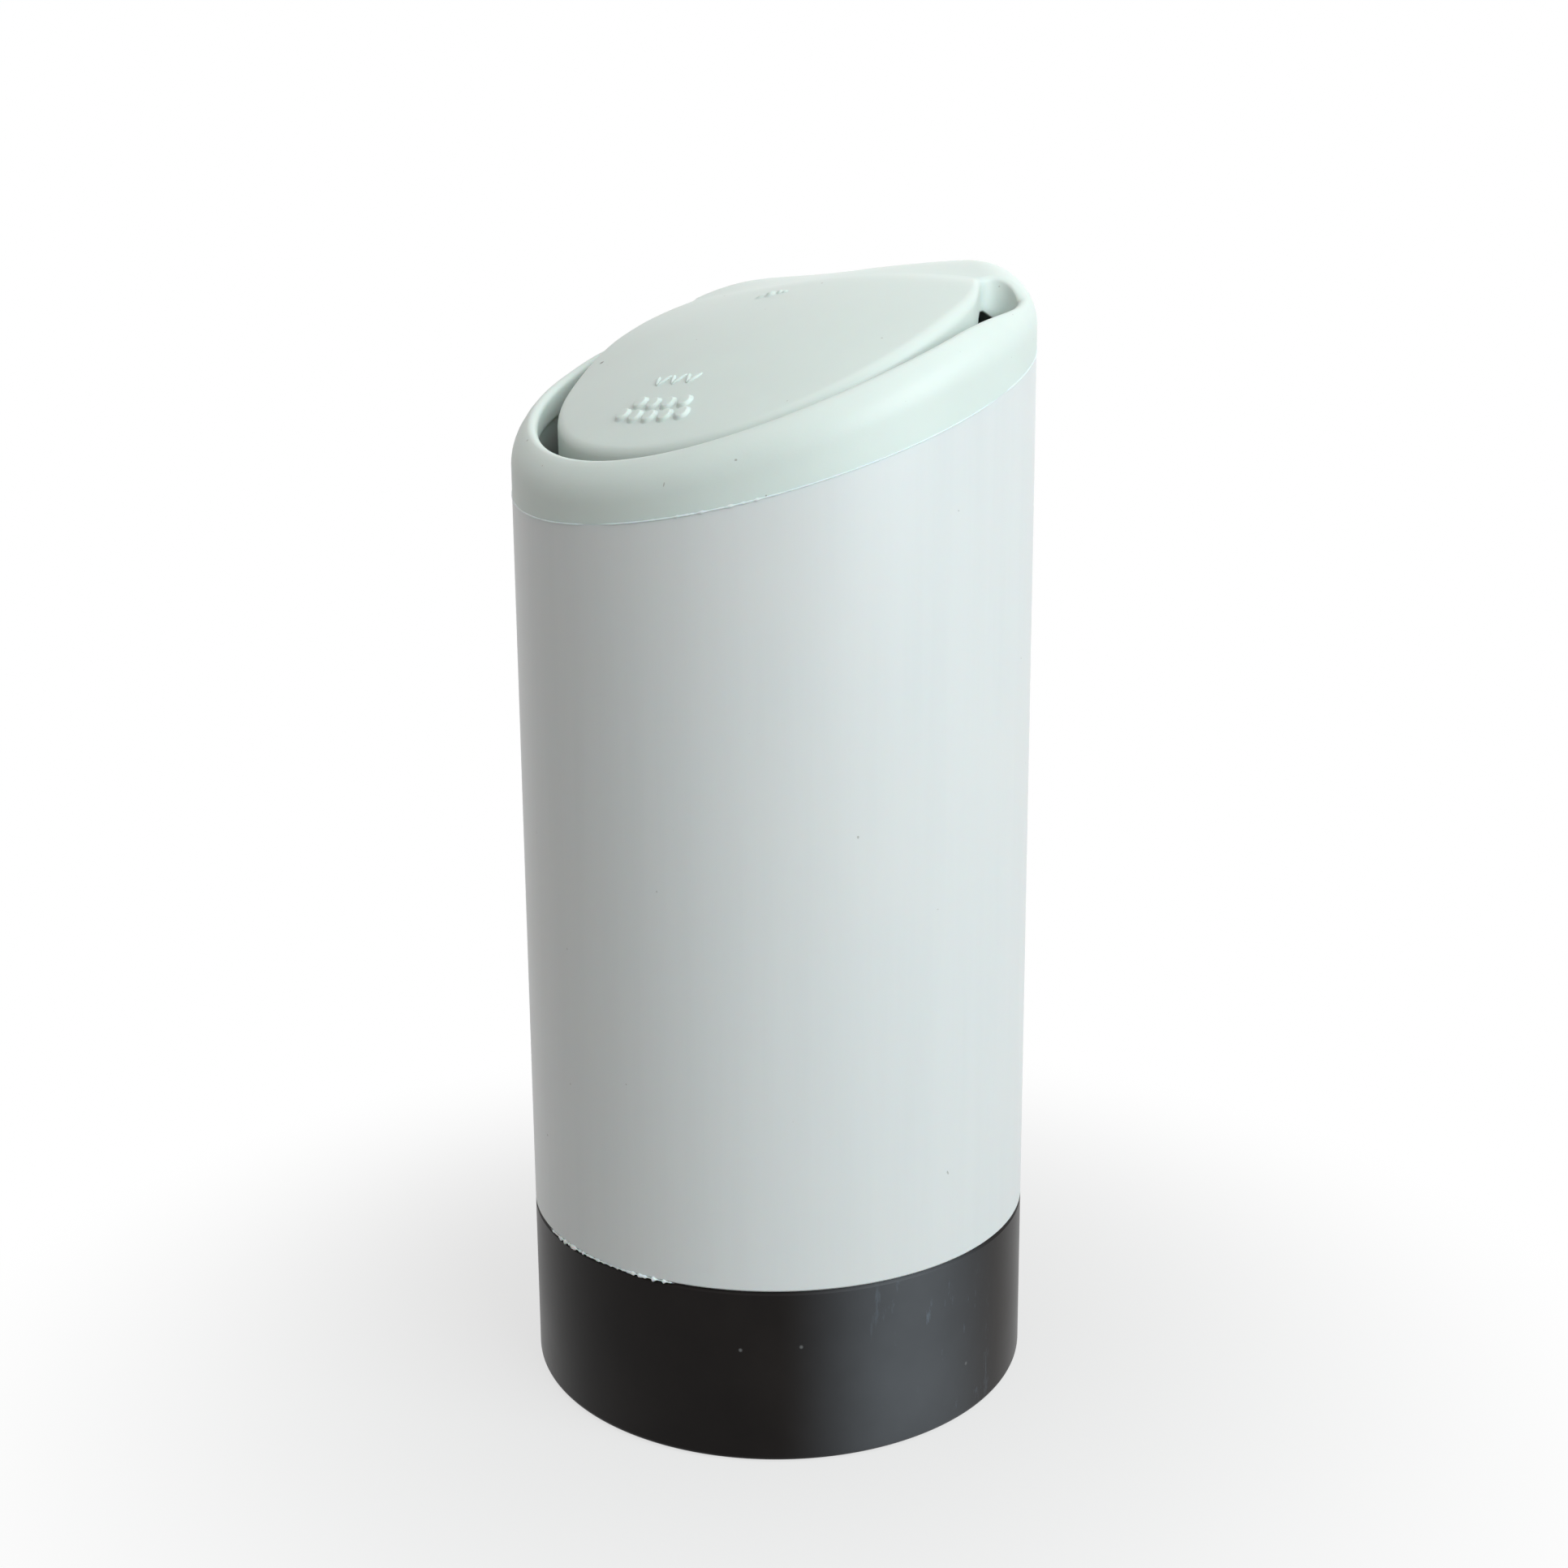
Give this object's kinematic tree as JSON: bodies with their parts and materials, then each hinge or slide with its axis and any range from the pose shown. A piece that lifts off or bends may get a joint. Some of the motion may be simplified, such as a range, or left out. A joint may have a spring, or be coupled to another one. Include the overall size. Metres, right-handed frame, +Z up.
{
  "type": "car trash can",
  "caption": "Round car trash can with a slanted domed push-lid cap, a straight tube and a dark plug-in base; waste goes in past the sprung flap and the cap pulls off for emptying.",
  "frame": {"origin": "centre of the round base, on the plane it stands on", "axes": "+Z up along the tube; -Y is the low side of the slanted top, where the flap is pushed; the flap turns about an axis along X"},
  "size_m": [0.074, 0.074, 0.1631],
  "materials": {
    "black_plastic": "satin black with light scuffs",
    "white_plastic": "smooth satin white",
    "soft_white": "soft satin off-white, slightly green"
  },
  "bodies": {
    "bin": {"base_cup": "black_plastic", "body_tube": "white_plastic"},
    "cap": {"push_cap": "soft_white"},
    "flap": {"push_flap": "soft_white"}
  },
  "joints": [
    {"name": "cap_lift", "type": "slide", "parent": "bin", "child": "cap", "axis": [0, 0, 1], "range_m": [0, 0.03]},
    {"name": "flap_push", "type": "hinge", "parent": "cap", "child": "flap", "pos_m": [0, 0.0125, 0.1574], "axis": [1, 0, 0], "range_deg": [0, 35], "stiffness_Nm_per_rad": 0.12, "springref_deg": -0.57}
  ]
}
